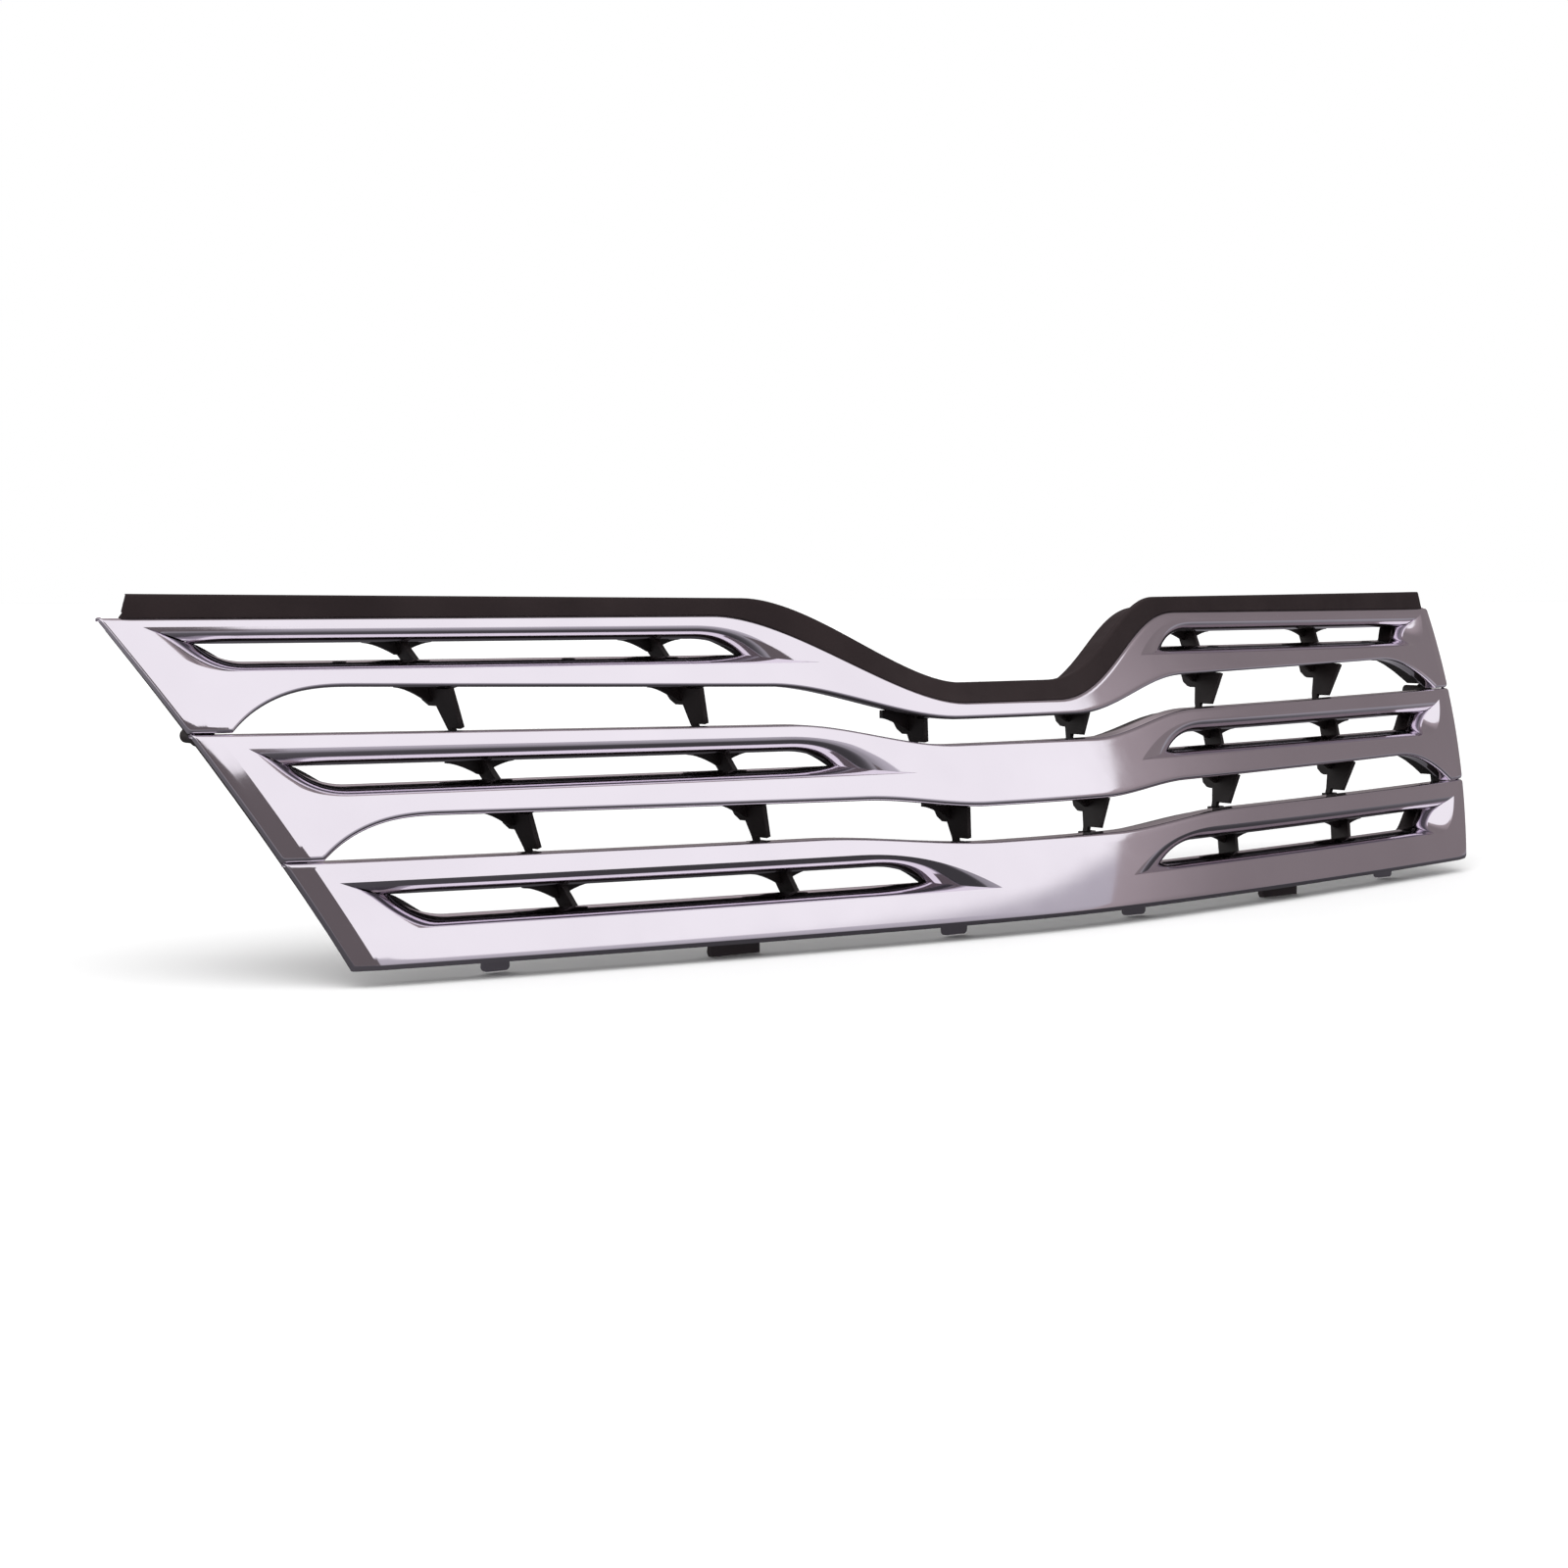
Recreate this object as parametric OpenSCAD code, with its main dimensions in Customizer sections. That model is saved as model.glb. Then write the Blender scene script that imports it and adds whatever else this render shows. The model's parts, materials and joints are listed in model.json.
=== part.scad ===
// Front grille of a car: three chrome-faced bars stacked one above the other, each
// screwed to a black carrier whose struts cross the air openings, with a black strip
// on top, plates that tie the ends, and clips along the bottom.
// Frame: +X to the right seen from the front, +Y towards the rear, +Z up. The origin
// is midway between the two outer fixing holes of the top strip, on its upper side.

/* [Face] */
// Depth of the face at the centre of its bottom edge, from the design datum
face_front = -176; // [-186:1:-166]
// Rearward slope of the face away from the centre, seen from above
plan_slope = 0.094; // [0.086:0.002:0.102]
// Length over which the nose is rounded at the centre
nose_len = 60; // [40:5:80]
// Extra rearward curve seen from above, per mm squared
plan_crown = 0.00011; // [0.00009:0.00001:0.00013]
// Rearward slope of the face at its bottom edge
lean_slope = 0.29; // [0.26:0.01:0.32]
// Extra rearward curve with height, per mm squared
lean_crown = 0.00113; // [0.00105:0.00001:0.0012]

/* [Ends] */
// Half of the chrome's width at its bottom edge
half_bottom = 470; // [466:1:476]
// Outward slope of the ends with height
end_slope = 0.49; // [0.47:0.01:0.51]

/* [Chrome bars] */
// Thickness of the chrome skin
skin_t = 3; // [2.5:0.25:3.5]
// Depth of the rim that runs round each bar
rim_d = 13; // [10:1:14]
// Width of that rim
rim_w = 3; // [2.5:0.25:3.5]
// Depth of the shelf inside each slot
shelf_d = 11; // [9:1:12]
// Depth at which the slot's tube ends
slot_d = 15; // [14:0.5:15.5]

/* [Carriers] */
// Depth of the carrier's front side behind the face
carrier_d = 16; // [16:0.25:17]
// Wall thickness of the carriers and the struts
wall_t = 3; // [2.5:0.25:3.5]
// Depth at which the carrier's flanges end
flange_d = 28; // [26:1:29]
// Depth of a hanging strut's front edge at its foot
strut_front_d = 20; // [17:0.5:22]
// Depth of a hanging strut's rear edge at its foot
strut_d = 35; // [34:0.5:37]
// Depth of the heel at a hanging strut's top
heel_d = 41; // [39:0.5:44]
// Reach of the curved gusset on each side of a strut
gusset_w = 21; // [14:1:22]

/* [Top strip] */
// Rearward reach of the strip's shelf
strip_shelf_d = 34; // [32:1:36]
// Distance from the strip's face back to the fixing holes
fix_back = 36; // [34:1:40]
// Distance of the inner fixing holes from the centre
fix_inner_x = 230; // [226:1:236]
// Distance of the outer fixing holes from the centre
fix_outer_x = 450; // [440:1:456]
// Radius of the fixing holes
fix_hole_r = 3.25; // [2.75:0.25:3.5]

/* [Fasteners] */
// Radius of the screws' shanks
screw_r = 1.5; // [1.3:0.1:1.5]
// Length of the screws under the head
screw_len = 14; // [12:0.5:15]
// Radius of the locating pins on the end plates
pin_r = 4; // [3:0.5:4.5]
// Length of the locating pins
pin_len = 14; // [10:1:16]

/* [Hidden] */

chrome = [0.78, 0.76, 0.78];
black = [0.14, 0.11, 0.12];
zinc = [0.62, 0.61, 0.57];
foam = [0.22, 0.22, 0.23];

// Edges seen from the front, symmetrical about the centre. Each is a centre height,
// a shoulder height, the x where the wave between them starts and ends, and the
// outward slope after it.
lower_top = [48, 55.5, 50, 180, 0.0055];
middle_bottom = [69, 76, 50, 140, 0.011];
middle_top = [106.5, 121.5, 60, 175, 0.0095];
upper_bottom = [121.5, 144, 50, 180, 0.018];
upper_top = [131.5, 186.7, 40, 200, 0];
strip_top = [144, 197, 38, 180, 0.008];

// Arched outer ends of the two openings between bars: the x where the arch starts
// and ends, and the height of its foot
middle_arch = [405, 477, 57.6];
upper_arch = [435, 509, 125.6];
arch_power = 2.6;

// Slots in the bars, upper, middle and lower: tip x, length of the rounded rise,
// bottom height, top height, x where the outer end starts and ends, outward slope.
// The recess is the slot's edge in the face, and the mouth is the hole behind it.
recess = [[139, 81, 158, 182, 492, 541, 0], [97, 90, 91, 115, 450, 504, 0.007],
    [57, 103, 21, 45.5, 425, 472, 0.003]];
mouth = [[179, 35, 161, 172.5, 485, 512, 0], [142, 35, 94.5, 105.5, 448, 479, 0.004],
    [99, 40, 24, 36.5, 408, 441, 0.004]];
rise_power = 2.35;

// Columns of struts: x at the bottom edge, and outward lean with height
columns = [[48, 0.185], [183, 0.29], [322, 0.4]];

// Stations along x for outlines, and the grid of the face
outline_xs = [each [0:12:228], each [250:30:400], each [405:9:522], each [535:12:559]];
grid_x = 570;
grid_dx = 38;
grid_dz = 18;
dip_x = 220;
reach = 400;

// Screws and bosses
head_r = 3;
head_h = 2;
boss_r = 3.2;
pad_r = 4.4;
pad_t = 5.7;
gap = 0.2;
pilot_r = 1.6;
pilot_len = 10;
clear_r = 1.9;
head_room = 20;
foot_boss_r = 4;
foot_boss_d = 33;
foot_drop = 6;
lug_w = 12;
lug_t = 4;
lug_below = 6;
lug_above = 4;
rib_below = 5;

// Carriers and their struts
carrier_inset = 3;
carrier_end = 22;
slot_grow = 1.5;
flange_t = 2.5;
pocket_x = [84, 12, 12];
strut_back_d = 15;
strut_root_d = 17;
strut_gap = 0.8;
slot_strut_d = 33;
front_taper = 0.15;
rear_taper = 0.25;
heel_drop = 11;
heel_bevel = 3;
gusset_drop = [9, 7.5];
gusset_rise = [8.5, 7];
gusset_power = 1.6;
gusset_d = 24;

// End plates: a band along each end
plate_out = 5;
plate_in = 19;
plate_z = [8, 180];
plate_screw_in = 12;
plate_screw_z = [24, 90, 156];
pin_z = 123;
foam_z = [36, 80];
foam_t = 4;

// Top strip
strip_gap = 0.6;
strip_set_back = 3;
strip_shelf_t = 2.5;
strip_end_x = 552;
strip_corner_x = 545;
strip_screw_x = [280, 420, 500];
strip_boss_back = 23;
strip_boss_len = 14;
tab_w = 24;
tab_end = 11;

// Positions of the screws that hold each bar, as distances from the centre with heights
upper_screws = [[165, 150.5], [310, 151.4], [465, 151.5]];
middle_screws = [[30, 88], [165, 84], [300, 84.3], [425, 84.4]];
lower_screws = [[30, 26], [150, 11], [290, 11], [425, 11]];

// Tabs and clips along the bottom
tab_x = [78, 380];
tab_size = [19, 17, 3];
tab_drop = 8;
tab_back = 27;
tab_arm_t = 2.5;
clip_x = 235;
clip_w = 35;

// Side view of a clip, as depths behind the face with heights
clip_profile = [[20, 2.6], [20, -8.5], [23, -8.5], [24.5, -6], [23.5, -0.2], [34, -0.2],
    [34, 8.3], [24.6, 8.3], [24.6, 5.8], [31.2, 5.8], [31.2, 2.6]];

// Surfaces
function face_y(x, z) = face_front + plan_slope * (sqrt(x * x + nose_len * nose_len) - nose_len)
    + plan_crown * x * x + lean_slope * z + lean_crown * z * z;
function end_x(z) = half_bottom + end_slope * z;

// Edges
function ease(t) = let (k = min(max(t, 0), 1)) k * k * (3 - 2 * k);
function edge_z(e, x) = e[0] + (e[1] - e[0]) * ease((abs(x) - e[2]) / (e[3] - e[2]))
    + e[4] * max(abs(x) - e[3], 0);
function arch_z(e, a, x) = abs(x) < a[0] ? edge_z(e, x)
    : max(a[2], edge_z(e, x) - (edge_z(e, a[1]) - a[2]) * pow((abs(x) - a[0]) / (a[1] - a[0]), arch_power));
function slot_top(s, x) = s[2] + s[6] * max(x - s[0] - s[1], 0)
    + (s[3] - s[2]) * (1 - pow(1 - min((x - s[0]) / s[1], 1), rise_power));
function slot_bottom(s, x) = s[2]
    + (slot_top(s, s[5]) - s[2]) * ease((x - s[4]) / (s[5] - s[4]));
function slot_grown(s, g) = [s[0] - 3 * g, s[1], s[2] - g, s[3] + g, s[4] + g, s[5] + 2 * g, s[6]];

lower_top_z = function (x) edge_z(lower_top, x);
middle_bottom_z = function (x) arch_z(middle_bottom, middle_arch, x);
middle_top_z = function (x) edge_z(middle_top, x);
upper_bottom_z = function (x) arch_z(upper_bottom, upper_arch, x);
upper_top_z = function (x) edge_z(upper_top, x);
flat_bottom_z = function (x) 0;

// Lists of points
function reversed(v) = [for (i = [len(v) - 1:-1:0]) v[i]];
function trimmed(v) = [for (i = [1:len(v) - 2]) v[i]];
function flipped(v) = [for (p = v) [-p[0], p[1]]];
function both_sides(right) = concat(right, trimmed(flipped(reversed(right))));

// Right half of a bar's outline from x0 outwards, drawn in by an inset and cut at its end
function bar_half(low, high, inset, end_inset, x0 = 0) =
    let (
        xl = end_x(low(grid_x)) - end_inset,
        xh = end_x(high(grid_x)) - end_inset,
        bottom = [for (x = outline_xs) if (x >= x0 && x < xl - 3) [x, low(x) + inset]],
        top = [for (x = outline_xs) if (x >= x0 && x < xh - 3) [x, high(x) - inset]]
    )
    concat(bottom, [[xl, low(xl) + inset], [xh, high(xh) - inset]], reversed(top));
function bar_outline(low, high, inset, end_inset) =
    both_sides(bar_half(low, high, inset, end_inset));

// Outline of a slot, with its points closer together at the rounded rise and the outer end
function slot_outline(s) =
    let (
        rise = [for (i = [0:10]) s[0] + s[1] * pow(i / 10, 1.6)],
        run = [for (i = [1:6]) s[0] + s[1] + (s[4] - s[0] - s[1]) * i / 6],
        outer = [for (i = [1:8]) s[4] + (s[5] - s[4]) * i / 8],
        top = [for (x = concat(rise, run, outer)) [x, slot_top(s, x)]],
        bottom = [for (x = trimmed(reversed(concat(run, outer)))) [x, slot_bottom(s, x)]]
    )
    concat(top, bottom);

// Sheet between two depths behind a curved face, on a grid of x and z
module sheet(depth_at, xs, zs, d0, d1) {
    nx = len(xs);
    nz = len(zs);
    side = nx * nz;
    points = [for (d = [d0, d1], z = zs, x = xs) [x, depth_at(x, z) + d, z]];
    function at(k, j, i) = k * side + j * nx + i;
    skins = [for (j = [0:nz - 2], i = [0:nx - 2]) each [
        [at(0, j, i), at(0, j + 1, i), at(0, j + 1, i + 1)],
        [at(0, j, i), at(0, j + 1, i + 1), at(0, j, i + 1)],
        [at(1, j, i), at(1, j + 1, i + 1), at(1, j + 1, i)],
        [at(1, j, i), at(1, j, i + 1), at(1, j + 1, i + 1)]]];
    rows = [for (i = [0:nx - 2]) each [
        [at(0, 0, i), at(0, 0, i + 1), at(1, 0, i + 1)],
        [at(0, 0, i), at(1, 0, i + 1), at(1, 0, i)],
        [at(0, nz - 1, i), at(1, nz - 1, i), at(1, nz - 1, i + 1)],
        [at(0, nz - 1, i), at(1, nz - 1, i + 1), at(0, nz - 1, i + 1)]]];
    ends = [for (j = [0:nz - 2]) each [
        [at(0, j, 0), at(1, j, 0), at(1, j + 1, 0)],
        [at(0, j, 0), at(1, j + 1, 0), at(0, j + 1, 0)],
        [at(0, j, nx - 1), at(0, j + 1, nx - 1), at(1, j + 1, nx - 1)],
        [at(0, j, nx - 1), at(1, j + 1, nx - 1), at(1, j, nx - 1)]]];
    polyhedron(points, concat(skins, rows, ends));
}

face = function (x, z) face_y(x, z);
face_xs = [for (x = [-grid_x:grid_dx:grid_x]) x];
end_xs = [for (x = face_xs) if (x > half_bottom - 3 * grid_dx) x];

// Part of the face's skin between two heights and two depths
module skin(z0, z1, d0, d1, xs) {
    zs = [for (k = [floor(z0 / grid_dz):ceil(z1 / grid_dz)]) k * grid_dz];
    sheet(face, xs, zs, d0, d1);
}

// Extrudes a front view from front to rear
module through() {
    translate([0, reach, 0])
        rotate([90, 0, 0])
            linear_extrude(2 * reach)
                children();
}

// A shape cut from the skin by a front view
module cut_skin(z0, z1, d0, d1, xs = face_xs) {
    intersection() {
        skin(z0, z1, d0, d1, xs);
        through() children();
    }
}

module slot_pair(s) {
    polygon(slot_outline(s));
    polygon(flipped(slot_outline(s)));
}

module both() {
    children();
    mirror([1, 0, 0]) children();
}

// Cylinder along Y from a depth behind the face at (x, z)
module rod(x, z, d, length, r) {
    translate([x, face_y(x, z) + d + length, z])
        rotate([90, 0, 0])
            cylinder(h = length, r = r, $fn = 32);
}

// Pan-head screw pointing forward, its head's seat at a depth behind the face
module screw(x, z, d) {
    rod(x, z, d, head_h, head_r);
    rod(x, z, d - screw_len, screw_len, screw_r);
}

module screws_at(places, d) {
    both()
        for (p = places)
            screw(p[0], p[1], d);
}

// Chrome bar: skin, rim, and the tube of its two slots
module bar(low, high, z0, z1, k, places) {
    difference() {
        union() {
            cut_skin(z0, z1, 0, skin_t)
                difference() {
                    polygon(bar_outline(low, high, 0, 0));
                    slot_pair(recess[k]);
                }
            cut_skin(z0, z1, skin_t - 0.5, rim_d)
                difference() {
                    polygon(bar_outline(low, high, 0, 0));
                    polygon(bar_outline(low, high, rim_w, rim_w));
                }
            cut_skin(z0, z1, skin_t - 0.5, shelf_d + 0.5)
                difference() {
                    slot_pair(slot_grown(recess[k], 2));
                    slot_pair(recess[k]);
                }
            cut_skin(z0, z1, shelf_d, slot_d)
                difference() {
                    slot_pair(slot_grown(recess[k], 2));
                    slot_pair(mouth[k]);
                }
            both()
                for (p = concat(places, [plate_place(2 - k)]))
                    rod(p[0], p[1], skin_t - 1, carrier_d - gap - skin_t + 1, boss_r);
        }
        both()
            for (p = concat(places, [plate_place(2 - k)]))
                rod(p[0], p[1], carrier_d - pilot_len, pilot_len + 1, pilot_r);
    }
}

// Pads on the rear of a carrier or a plate, for screws that go into a bar's bosses
module pads(places) {
    for (p = places)
        rod(p[0], p[1], carrier_d, pad_t, pad_r);
}

// Cuts for those screws: the boss's pocket, the screw's hole and the room for its head
module pad_cuts(places) {
    for (p = places) {
        rod(p[0], p[1], 0, carrier_d, boss_r + 0.3);
        rod(p[0], p[1], carrier_d - 1, pad_t + 2, clear_r);
        rod(p[0], p[1], carrier_d + pad_t, head_room, head_r + 0.4);
    }
}

// Position on a column of struts, and a point behind the face there as [y, z]
function column_x(c, z) = c[0] + c[1] * z;
function behind(c, z, d) = [face_y(column_x(c, z), z) + d, z];

// Fin of a strut, given as [y, z] points, that leans outward with its column
module fin(c, base, profile) {
    lean = atan(c[1]);
    translate([column_x(c, base), 0, base])
        rotate([0, lean, 0])
            translate([-wall_t / 2, 0, 0])
                rotate([90, 0, 90])
                    linear_extrude(wall_t)
                        polygon([for (p = profile) [p[0], (p[1] - base) / cos(lean)]]);
}

// Web across a strut's top, curving out to both sides
module gusset(x, z, k) {
    side = [for (i = [0:6])
        let (u = i / 6)
        [1 + gusset_w * u, z - gusset_drop[k] + gusset_rise[k] * (1 - pow(1 - u, gusset_power))]];
    translate([x, face_y(x, z) + gusset_d + wall_t, 0])
        rotate([90, 0, 0])
            linear_extrude(wall_t)
                polygon(both_sides(concat([[0, z - gusset_drop[k]]], side,
                    [[gusset_w + 1, z + 4.4], [0, z + 4.4]])));
}

// Strut across a slot, between the heights of its mouth
module slot_strut(c, low, high) {
    base = low - 3;
    top = high + 3;
    fin(c, base, [behind(c, base, strut_root_d), behind(c, top, strut_root_d),
        behind(c, top, slot_strut_d), behind(c, base, slot_strut_d)]);
    gusset(column_x(c, high), high, 1);
}

// Where a column's hanging strut lands and where it starts, each as [x, z]
function foot_of(c, low, high) =
    let (x = column_x(c, low(column_x(c, high(0)))))
    [x, low(x)];
function head_of(c, high) =
    let (x = column_x(c, high(column_x(c, high(0)))))
    [x, high(x)];

// Strut that hangs from a carrier and lands on the one below, with a lug for its screw
module hanging_strut(c, foot, head) {
    low = foot[1];
    high = head[1];
    under = high - strut_gap;
    over = low + strut_gap;
    foot_y = face_y(foot[0], low);
    rear = high - heel_drop;
    lug_y = face_y(foot[0], low - foot_drop) + foot_boss_d + gap;
    lug_high = low - foot_drop + lug_above;
    fin(c, low - rib_below, [[foot_y + strut_front_d, over],
        [foot_y + strut_front_d - front_taper * (under - low), under],
        behind(c, under, strut_back_d), behind(c, high + 4, strut_root_d), behind(c, high + 4, heel_d),
        behind(c, rear + heel_bevel, heel_d), behind(c, rear, heel_d - heel_bevel),
        [foot_y + strut_d + rear_taper * (rear - low), rear], [foot_y + strut_d, over],
        [lug_y + lug_t, lug_high], [lug_y + lug_t, low - rib_below], [lug_y, low - rib_below], [lug_y, over]]);
    gusset(head[0], high, 0);
    translate([foot[0] - lug_w / 2, lug_y, low - foot_drop - lug_below])
        cube([lug_w, lug_t, lug_below + lug_above]);
}

// Black carrier behind a bar: plate, flanges, slot struts and screw pads
module carrier(low, high, z0, z1, k, places) {
    difference() {
        union() {
            cut_skin(z0, z1, carrier_d, carrier_d + wall_t)
                difference() {
                    polygon(bar_outline(low, high, carrier_inset, carrier_end));
                    slot_pair(slot_grown(mouth[k], slot_grow));
                }
            cut_skin(z0, z1, carrier_d + wall_t - 0.5, flange_d)
                difference() {
                    union() {
                        difference() {
                            polygon(bar_outline(low, high, carrier_inset, carrier_end));
                            both()
                                polygon(bar_half(low, high, carrier_inset + flange_t,
                                    carrier_end + wall_t, pocket_x[k]));
                        }
                        slot_pair(slot_grown(mouth[k], slot_grow + flange_t));
                    }
                    slot_pair(slot_grown(mouth[k], slot_grow));
                }
            both()
                for (c = [columns[1], columns[2]])
                    slot_strut(c, mouth[k][2], mouth[k][3]);
            both() pads(places);
        }
        both() pad_cuts(places);
    }
}

module hanging_struts(low, high) {
    both()
        for (c = columns)
            hanging_strut(c, foot_of(c, low, high), head_of(c, high));
}

function foot_places(low, high) = [for (c = columns)
    let (foot = foot_of(c, low, high)) [foot[0], foot[1] - foot_drop]];

// Holes through the lugs of hanging struts
module lug_holes(low, high) {
    both()
        for (p = foot_places(low, high))
            rod(p[0], p[1], foot_boss_d - 1, lug_t + 3, clear_r);
}

// Bosses that take the feet of the struts above
module foot_bosses(low, high) {
    both()
        for (p = foot_places(low, high))
            difference() {
                rod(p[0], p[1], carrier_d + gap, foot_boss_d - carrier_d - gap, foot_boss_r);
                rod(p[0], p[1], foot_boss_d - pilot_len, pilot_len + 1, pilot_r);
            }
}

module foot_screws(low, high) {
    screws_at(foot_places(low, high), foot_boss_d + gap + lug_t);
}

module placed() {
    translate([0, -fix_y, -fix_z])
        children();
}

// Top strip
function strip_tilt(x) = 0.1 + 0.5 * (1 - ease(abs(x) / 200));
function strip_y(x, z) = let (base = edge_z(upper_top, x))
    face_y(x, base) + strip_set_back + strip_tilt(x) * (z - base);
strip_face = function (x, z) strip_y(x, z);
strip_xs = both_sides_xs([each [0:10:dip_x], each [250:40:grid_x]]);
function both_sides_xs(v) = concat([for (i = [len(v) - 1:-1:1]) -v[i]], v);
strip_zs = [110, 210];
fix_z = upper_top_z(fix_outer_x) + strip_gap + strip_shelf_t;
fix_y = strip_y(fix_outer_x, fix_z) + fix_back;

function strip_outline(z_from, z_to) =
    let (
        xs = [for (x = outline_xs) if (x < strip_corner_x - 3) x],
        bottom = [for (x = xs) [x, z_from(x)]],
        top = [for (x = xs) [x, z_to(x)]],
        end = [[strip_end_x, z_from(strip_end_x)], [strip_corner_x, z_to(strip_corner_x)]]
    )
    both_sides(concat(bottom, end, reversed(top)));

module strip_band(z_from, z_to, d0, d1) {
    intersection() {
        sheet(strip_face, strip_xs, strip_zs, d0, d1);
        through() polygon(strip_outline(z_from, z_to));
    }
}

strip_low_z = function (x) upper_top_z(x) + strip_gap;
strip_shelf_z = function (x) upper_top_z(x) + strip_gap + strip_shelf_t;
strip_high_z = function (x) edge_z(strip_top, x);

module strip_tab(x) {
    translate([x - tab_w / 2, strip_y(x, fix_z) + strip_set_back, strip_low_z(x)])
        cube([tab_w, fix_back + tab_end - strip_set_back, fix_z - strip_low_z(x)]);
}

module strip_hole(x) {
    translate([x, strip_y(x, fix_z) + fix_back, fix_z - 10])
        cylinder(h = 20, r = fix_hole_r, $fn = 48);
}

module at_strip_boss(x) {
    translate([x, face_y(x, upper_top_z(x)) + strip_boss_back, strip_low_z(x)])
        children();
}

// Bosses of the upper carrier that take the strip's screws
module strip_bosses() {
    both()
        for (x = strip_screw_x)
            at_strip_boss(x)
                translate([0, 0, -strip_boss_len - gap])
                    difference() {
                        cylinder(h = strip_boss_len, r = foot_boss_r, $fn = 32);
                        translate([0, 0, 1])
                            cylinder(h = strip_boss_len, r = pilot_r, $fn = 32);
                    }
}

// Screw pointing down through the strip's shelf, its head's seat at the origin
module strip_screw() {
    cylinder(h = head_h, r = head_r, $fn = 32);
    translate([0, 0, -screw_len])
        cylinder(h = screw_len, r = screw_r, $fn = 32);
}

// End plate on the right: a band along the end, with screw pads and a locating pin
function plate_place(i) = [end_x(plate_screw_z[i]) - plate_screw_in, plate_screw_z[i]];
plate_places = [for (i = [0:2]) plate_place(i)];
pin_x = end_x(pin_z) - plate_screw_in;
pin_base_d = 24;

function band(out, in, z0, z1) = [[end_x(z0) - in, z0], [end_x(z0) - out, z0],
    [end_x(z1) - out, z1], [end_x(z1) - in, z1]];

module end_plate() {
    difference() {
        union() {
            cut_skin(plate_z[0], plate_z[1], carrier_d, carrier_d + wall_t, end_xs)
                polygon(band(plate_out, plate_in, plate_z[0], plate_z[1]));
            pads(plate_places);
            rod(pin_x, pin_z, carrier_d + 1, pin_base_d - carrier_d - 1, pin_r + 1.5);
        }
        pad_cuts(plate_places);
    }
    rod(pin_x, pin_z, pin_base_d - 1, pin_len + 1, pin_r);
}

module end_foam() {
    cut_skin(foam_z[0], foam_z[1], carrier_d + wall_t + gap / 2, carrier_d + wall_t + foam_t, end_xs)
        polygon(band(plate_out + 2, plate_in - 2, foam_z[0], foam_z[1]));
}

// Clip on the right: grips the lower carrier's bottom flange and ends in a hook below
module bottom_clip() {
    translate([clip_x - clip_w / 2, face_y(clip_x, 0), 0])
        rotate([90, 0, 90])
            linear_extrude(clip_w)
                polygon(clip_profile);
}

// Hooked tab below the lower bar
module bar_tab(x, w) {
    y = face_y(x, 0);
    translate([x - w / 2, y + rim_d - 3, 0])
        cube([w, tab_back - rim_d + 3, tab_arm_t]);
    translate([x - w / 2, y + tab_back - tab_size[2], -tab_drop])
        cube([w, tab_size[2], tab_drop + 1]);
}

seat_d = carrier_d + pad_t;

// Nodes
module upper_bar() {
    color(chrome)
        placed() bar(upper_bottom_z, upper_top_z, 120, 190, 0, upper_screws);
}

module middle_bar() {
    color(chrome)
        placed() bar(middle_bottom_z, middle_top_z, 56, 126, 1, middle_screws);
}

module lower_bar() {
    color(chrome)
        placed() {
            bar(flat_bottom_z, lower_top_z, 0, 58, 2, lower_screws);
            both() bar_tab(tab_x[0], tab_size[0]);
            both() bar_tab(tab_x[1], tab_size[1]);
        }
}

module upper_carrier() {
    color(black)
        placed() {
            carrier(upper_bottom_z, upper_top_z, 120, 190, 0, upper_screws);
            difference() {
                hanging_struts(middle_top_z, upper_bottom_z);
                lug_holes(middle_top_z, upper_bottom_z);
            }
            strip_bosses();
        }
}

module middle_carrier() {
    color(black)
        placed() {
            carrier(middle_bottom_z, middle_top_z, 56, 126, 1, middle_screws);
            difference() {
                hanging_struts(lower_top_z, middle_bottom_z);
                lug_holes(lower_top_z, middle_bottom_z);
            }
            foot_bosses(middle_top_z, upper_bottom_z);
        }
}

module lower_carrier() {
    color(black)
        placed() {
            carrier(flat_bottom_z, lower_top_z, 0, 58, 2, lower_screws);
            foot_bosses(lower_top_z, middle_bottom_z);
        }
}

module top_strip() {
    color(black)
        placed()
            difference() {
                union() {
                    strip_band(strip_low_z, strip_high_z, 0, wall_t);
                    strip_band(strip_low_z, strip_shelf_z, wall_t - 0.5, strip_shelf_d);
                    both() strip_tab(fix_inner_x);
                    both() strip_tab(fix_outer_x);
                }
                both() strip_hole(fix_inner_x);
                both() strip_hole(fix_outer_x);
                both()
                    for (x = strip_screw_x)
                        at_strip_boss(x)
                            translate([0, 0, -1])
                                cylinder(h = 10, r = clear_r, $fn = 32);
            }
}

module end_plate_left() {
    color(black)
        placed() mirror([1, 0, 0]) end_plate();
}

module end_plate_right() {
    color(black)
        placed() end_plate();
}

module bottom_clip_left() {
    color(black)
        placed() mirror([1, 0, 0]) bottom_clip();
}

module bottom_clip_right() {
    color(black)
        placed() bottom_clip();
}

module upper_bar_screws() {
    color(zinc)
        placed() screws_at(upper_screws, seat_d);
}

module middle_bar_screws() {
    color(zinc)
        placed() screws_at(middle_screws, seat_d);
}

module lower_bar_screws() {
    color(zinc)
        placed() screws_at(lower_screws, seat_d);
}

module upper_strut_screws() {
    color(zinc)
        placed() foot_screws(middle_top_z, upper_bottom_z);
}

module lower_strut_screws() {
    color(zinc)
        placed() foot_screws(lower_top_z, middle_bottom_z);
}

module end_plate_screws() {
    color(zinc)
        placed() screws_at(plate_places, seat_d);
}

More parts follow.
